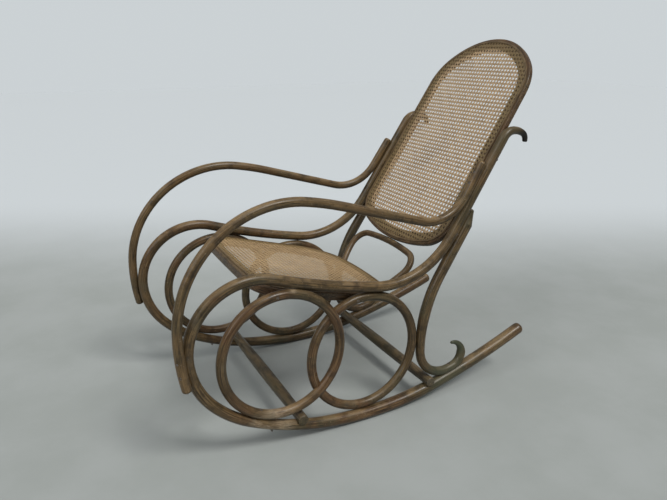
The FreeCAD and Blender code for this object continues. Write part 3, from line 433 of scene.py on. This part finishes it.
class Weave:
    """The strands of one panel, gathered into one mesh."""

    def __init__(self, node):
        self.middle, self.along, self.normal, self.outline = panel_of(node)
        self.points, self.faces, self.fibre, self.flat = [], [], [], []

    def lift(self, u, v, level):
        """A point of the panel's plane, raised to a level."""
        return self.middle + ACROSS * u + self.along * v + self.normal * level

    def strand(self, start, direction, heights, shades):
        """One flat strip: heights gives its level at each distance along the line."""
        across = (-direction[1], direction[0])
        own = random.uniform(*shades)
        first = len(self.points)
        half, top = STRAND_WIDTH / 2, STRAND_THICKNESS / 2
        narrow = half * STRAND_TOP_SHARE
        corners = ((-half, -top), (half, -top), (narrow, top), (-narrow, top))
        for distance, level in heights:
            u, v = start[0] + direction[0] * distance, start[1] + direction[1] * distance
            for side, rise in corners:
                self.points.append(self.lift(u + across[0] * side, v + across[1] * side, level + rise))
                self.fibre.append((side / half, distance, own))
                self.flat.append((u, v))
        last = len(heights) - 1
        for ring in range(last):
            a = first + ring * 4
            for k in range(4):
                n = (k + 1) % 4
                self.faces.append((a + k, a + n, a + 4 + n, a + 4 + k))
        self.faces.append((first + 3, first + 2, first + 1, first))
        end = first + last * 4
        self.faces.append((end, end + 1, end + 2, end + 3))

    def straight(self, run, sign):
        """The pairs along one way: run is 0 for strands along v and 1 for strands across."""
        direction = (0.0, 1.0) if run == 0 else (1.0, 0.0)
        shades = ACROSS_TONE_AND_SHADE if run else LENGTHWISE_TONE_AND_SHADE
        reach = int(STRAIGHT_REACH / PITCH)
        for index in range(-reach, reach + 1):
            for which in (-1, 1):
                place = index * PITCH + which * PAIR_HALF + random.uniform(-1, 1) * STRAIGHT_STRAY
                start = (place, 0.0) if run == 0 else (0.0, place)
                ends = crossing(self.outline, start, direction)
                if not ends:
                    continue
                self.strand(start, direction, self.woven(ends, which * sign), shades)

    def woven(self, ends, sign):
        """A strand's levels as it goes over one strand of each crossing pair and under the other."""
        low, high = ends
        heights = [(low, -EDGE_SINK)]
        step = math.ceil(low / PITCH) - 1
        while step * PITCH < high:
            for place, level in ((-PAIR_HALF, sign), (PAIR_HALF, -sign), (PITCH / 2, 0.0)):
                distance = step * PITCH + place
                if low + END_ROOM < distance < high - END_ROOM:
                    heights.append((distance, level * WEAVE_HEIGHT))
            step += 1
        heights.append((high, -EDGE_SINK))
        return heights

    def diagonals(self, slope):
        """Single strands over one way's pairs and under the other's."""
        unit = 1 / math.sqrt(2)
        direction = (unit, slope * unit)
        reach = int(DIAGONAL_REACH / PITCH)
        half_step = PITCH * unit
        for index in range(-reach, reach + 1):
            start = (0.0, (index + 0.5) * PITCH + random.uniform(-1, 1) * DIAGONAL_STRAY)
            ends = crossing(self.outline, start, direction)
            if not ends:
                continue
            low, high = ends
            heights = [(low, 0.0)]
            first = math.ceil(low / half_step) - 1
            for count in range(first, int(high / half_step) + 2):
                level = DIAGONAL_HEIGHT * (1 if (count % 2 == 0) == (slope > 0) else -1)
                for shift in (-DIAGONAL_CROSSING, DIAGONAL_CROSSING):
                    distance = (count + shift) * half_step
                    if low + END_ROOM < distance < high - END_ROOM:
                        heights.append((distance, level))
            heights.append((high, 0.0))
            self.strand(start, direction, heights, DIAGONAL_TONE_AND_SHADE)

    def edge_distances(self):
        """How far each point lies inside the panel's outline."""
        u, v = np.array(self.flat).T
        best = np.full(len(u), BEYOND_PANEL)
        for (ax, ay), (bx, by) in zip(self.outline, self.outline[1:] + self.outline[:1]):
            length = math.hypot(bx - ax, by - ay)
            if length > 0:
                best = np.minimum(best, np.abs((u - ax) * (by - ay) - (v - ay) * (bx - ax)) / length)
        return best

    def build(self, name, node, material):
        """One piece of all the strands, in the place of the CAD panel."""
        mesh = bpy.data.meshes.new(name)
        mesh.from_pydata([tuple(p) for p in self.points], [], self.faces)
        mesh.polygons.foreach_set("use_smooth", [True] * len(mesh.polygons))
        fibre = mesh.attributes.new("fibre", "FLOAT_VECTOR", "POINT")
        fibre.data.foreach_set("vector", np.array(self.fibre, np.float32).ravel())
        edge = mesh.attributes.new("edge", "FLOAT", "POINT")
        edge.data.foreach_set("value", self.edge_distances().astype(np.float32))
        mesh.materials.append(material)
        piece = bpy.data.objects.new(name, mesh)
        bpy.context.scene.collection.objects.link(piece)
        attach(piece, "root")
        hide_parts(node)
        return piece


def weave_panel(name, node, material):
    weave = Weave(node)
    weave.straight(0, 1)
    weave.straight(1, -1)
    weave.diagonals(1)
    weave.diagonals(-1)
    return weave.build(name, node, material)


seat_cane = cane_stuff(
    "seat_cane_skin",
    light=(0.64, 0.445, 0.235), deep=(0.29, 0.185, 0.085),
    age=(0.13, 0.078, 0.034), rim=(0.250, 0.168, 0.066),
)
back_cane = cane_stuff(
    "back_cane_skin",
    light=(0.66, 0.470, 0.275), deep=(0.29, 0.186, 0.092),
    age=(0.14, 0.086, 0.040), rim=(0.175, 0.122, 0.046),
)
weave_panel("woven_seat", "seat_cane", seat_cane)
weave_panel("woven_back", "back_cane", back_cane)


# Materials of the CAD pieces

def plane_normal(node):
    """The direction square to the plane that a bent piece lies in."""
    points = np.array([v.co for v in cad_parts[node].data.vertices], float)
    _, _, turned = np.linalg.svd(points - points.mean(0), full_matrices=False)
    return turned[2]


def flat_wood(name, node, **looks):
    """Wood whose grain runs round a flat frame."""
    low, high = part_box(node)
    centre, along, normal, _ = panel_of(node)
    points = np.array([v.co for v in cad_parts[node].data.vertices], float)
    reach = (points - centre) @ along
    half = (high[0] - low[0]) / 2
    return wood(name, "flat", normal, tuple(centre), (half, (reach.max() - reach.min()) / 2), **looks)


def dress(nodes, material):
    """Give CAD pieces a material in every slot."""
    for node in nodes:
        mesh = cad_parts[node].data
        for index in range(len(mesh.materials)):
            mesh.materials[index] = material


# Places of their own colour: worn to the bare wood, greenish or blackened

SCRATCHES = (
    ((0.272, -0.300, 0.108), 0.020, 0.050, RAW, 0.75),
    ((0.270, -0.262, 0.106), 0.012, 0.040, TAN, 0.80),
    ((0.274, -0.345, 0.085), 0.020, 0.060, RAW, 0.60),
    ((0.272, -0.250, 0.442), 0.003, 0.014, RAW, 0.60),
    ((0.243, 0.430, 0.765), 0.030, 0.090, OLIVE, 0.60),
    ((0.241, 0.515, 0.755), 0.030, 0.062, BLACK, 0.94),
    ((-0.241, 0.515, 0.755), 0.030, 0.062, BLACK, 0.85),
)
LOW_MARKS = (
    ((0.272, -0.300, 0.060), 0.015, 0.055, RAW, 0.65),
    ((0.270, -0.345, 0.075), 0.015, 0.050, TAN, 0.70),
    ((0.258, 0.250, 0.080), 0.040, 0.110, GREEN, 0.60),
    ((0.252, 0.460, 0.125), 0.040, 0.120, TAN, 0.45),
    ((0.248, 0.540, 0.145), 0.006, 0.030, BLACK, 0.85),
    ((0.255, 0.285, 0.165), 0.020, 0.060, GREEN, 0.75),
)

LOOP_TINT = (0.116, 0.076, 0.034)
RING_TINT = (0.080, 0.051, 0.022)
ARM_TINT = (0.125, 0.080, 0.036)
RUNNER_TINT = (0.080, 0.053, 0.024)
TURNED_TINT = (0.075, 0.066, 0.044)
SEAT_FRAME_TINT = (0.100, 0.062, 0.034)
BACK_FRAME_TINT = (0.100, 0.060, 0.032)

loop_wood = wood("bent_beech", tint=LOOP_TINT, redness=0.50, wear=0.9, olive=0.65, spots=SCRATCHES)
ring_wood = wood("ring_beech", tint=RING_TINT, redness=0.60, wear=0.6, olive=0.7, spots=SCRATCHES)
arm_wood = wood("armrest_beech", tint=ARM_TINT, redness=0.30, wear=1.0, olive=0.5)
low_wood = wood("runner_beech", tint=RUNNER_TINT, redness=0.50, wear=0.8, olive=0.9, spots=LOW_MARKS)
brace_wood = wood("brace_beech", axis=plane_normal("back_brace"), redness=0.3, wear=0.6, olive=0.6)
turned_wood = wood("turned_beech", mode="turned", tint=TURNED_TINT, redness=0.15, wear=0.35, olive=1.0)
for side in ("left", "right"):
    dress([f"side_loop_{side}"], loop_wood)
    dress([f"ring_front_{side}", f"ring_rear_{side}"], ring_wood)
    dress([f"armrest_{side}"], arm_wood)
    dress([f"runner_{side}", f"rear_leg_{side}"], low_wood)
dress(["back_brace"], brace_wood)
dress(["stretcher_front", "stretcher_rear"], turned_wood)
for node, tint, redness in (("seat_frame", SEAT_FRAME_TINT, 0.9), ("back_frame", BACK_FRAME_TINT, 0.8)):
    dress([node], flat_wood(f"{node}_beech", node, redness=redness, wear=0.4, tint=tint))
dress(["seat_spline", "back_spline"], reed_stuff("reed_skin"))
dress([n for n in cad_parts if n.endswith("_screws")], steel_stuff("old_steel"))


# Floor, light and camera

FLOOR_REACH = 14.0
FLOOR_DEEP = (0.335, 0.360, 0.350)
FLOOR_PALE = (0.375, 0.400, 0.395)
FLOOR_CLOUDS = (0.3, 0.7)
FLOOR_AWAY = (-0.888, 0.460, 0.0)
FLOOR_FADE = (0.55, 2.3)
FLOOR_FAR = (0.623, 0.666, 0.698)
BACKDROP = (0.600, 0.640, 0.660)
SKY = (0.95, 0.98, 1.0)
SKY_LOW = 0.10
SKY_RISE = 0.42
SUNS = (
    ("key", (0.70, 0.30, 1.05), 1.75, 18.0, (1.0, 0.98, 0.94)),
    ("fill", (0.35, -1.0, 0.75), 0.95, 40.0, (1.0, 0.99, 0.96)),
)


def floor_stuff():
    """Pale concrete grey that fades into the backdrop behind the chair."""
    material, tree = new_tree("studio_floor")
    position = add(tree, "ShaderNodeTexCoord").outputs["Object"]
    cloud = noise(tree, position, 3.0, detail=5.0, roughness=0.6)
    colour = blend(tree, band(tree, cloud, *FLOOR_CLOUDS), FLOOR_DEEP, FLOOR_PALE)
    colour = blend(tree, band(tree, dot(tree, position, FLOOR_AWAY), *FLOOR_FADE), colour, FLOOR_FAR)
    return surface(material, tree, colour, 0.8, cloud, bump=0.02, bump_depth=0.001)


def make_floor():
    """One large level square under the chair."""
    mesh = bpy.data.meshes.new("studio_floor")
    corners = [(x * FLOOR_REACH, y * FLOOR_REACH, 0) for x, y in ((-1, -1), (1, -1), (1, 1), (-1, 1))]
    mesh.from_pydata(corners, [], [(0, 1, 2, 3)])
    mesh.materials.append(floor_stuff())
    piece = bpy.data.objects.new("studio_floor", mesh)
    bpy.context.scene.collection.objects.link(piece)


def sun(name, source, strength, spread, colour):
    """Even light that comes from a direction."""
    data = bpy.data.lights.new(name, "SUN")
    data.energy = strength
    data.angle = math.radians(spread)
    data.color = colour
    lamp = bpy.data.objects.new(name, data)
    lamp.rotation_euler = Vector(source).to_track_quat("Z", "Y").to_euler()
    bpy.context.scene.collection.objects.link(lamp)


def make_world():
    """Soft light that is stronger from above, and the pale backdrop that the camera sees."""
    world = bpy.data.worlds.new("studio")
    bpy.context.scene.world = world
    world.use_nodes = True
    tree = world.node_tree
    tree.nodes.clear()
    path = add(tree, "ShaderNodeLightPath")
    direction = add(tree, "ShaderNodeTexCoord").outputs["Generated"]
    rise = add(tree, "ShaderNodeSeparateXYZ", {0: direction}).outputs[2]
    level = calc(tree, "ADD", calc(tree, "MULTIPLY", calc(tree, "MAXIMUM", rise, 0.0), SKY_RISE), SKY_LOW)
    soft = add(tree, "ShaderNodeBackground", {"Color": (*SKY, 1), "Strength": level})
    shown = add(tree, "ShaderNodeBackground", {"Color": (*BACKDROP, 1), "Strength": 1.0})
    seen = path.outputs["Is Camera Ray"]
    choice = add(tree, "ShaderNodeMixShader", {0: seen, 1: soft.outputs[0], 2: shown.outputs[0]})
    end = add(tree, "ShaderNodeOutputWorld")
    tree.links.new(choice.outputs[0], end.inputs["Surface"])


def make_camera():
    """The photograph's view."""
    data = bpy.data.cameras.new("camera")
    data.lens = CAMERA_LENS
    data.sensor_width = CAMERA_SENSOR
    data.sensor_fit = "HORIZONTAL"
    data.clip_start, data.clip_end = 0.05, 60.0
    camera = bpy.data.objects.new("camera", data)
    camera.location = CAMERA_PLACE
    camera.rotation_euler = [math.radians(a) for a in CAMERA_TURN]
    bpy.context.scene.collection.objects.link(camera)
    bpy.context.scene.camera = camera


make_floor()
make_world()
for settings in SUNS:
    sun(*settings)
make_camera()
bpy.context.scene.view_settings.view_transform = "Standard"
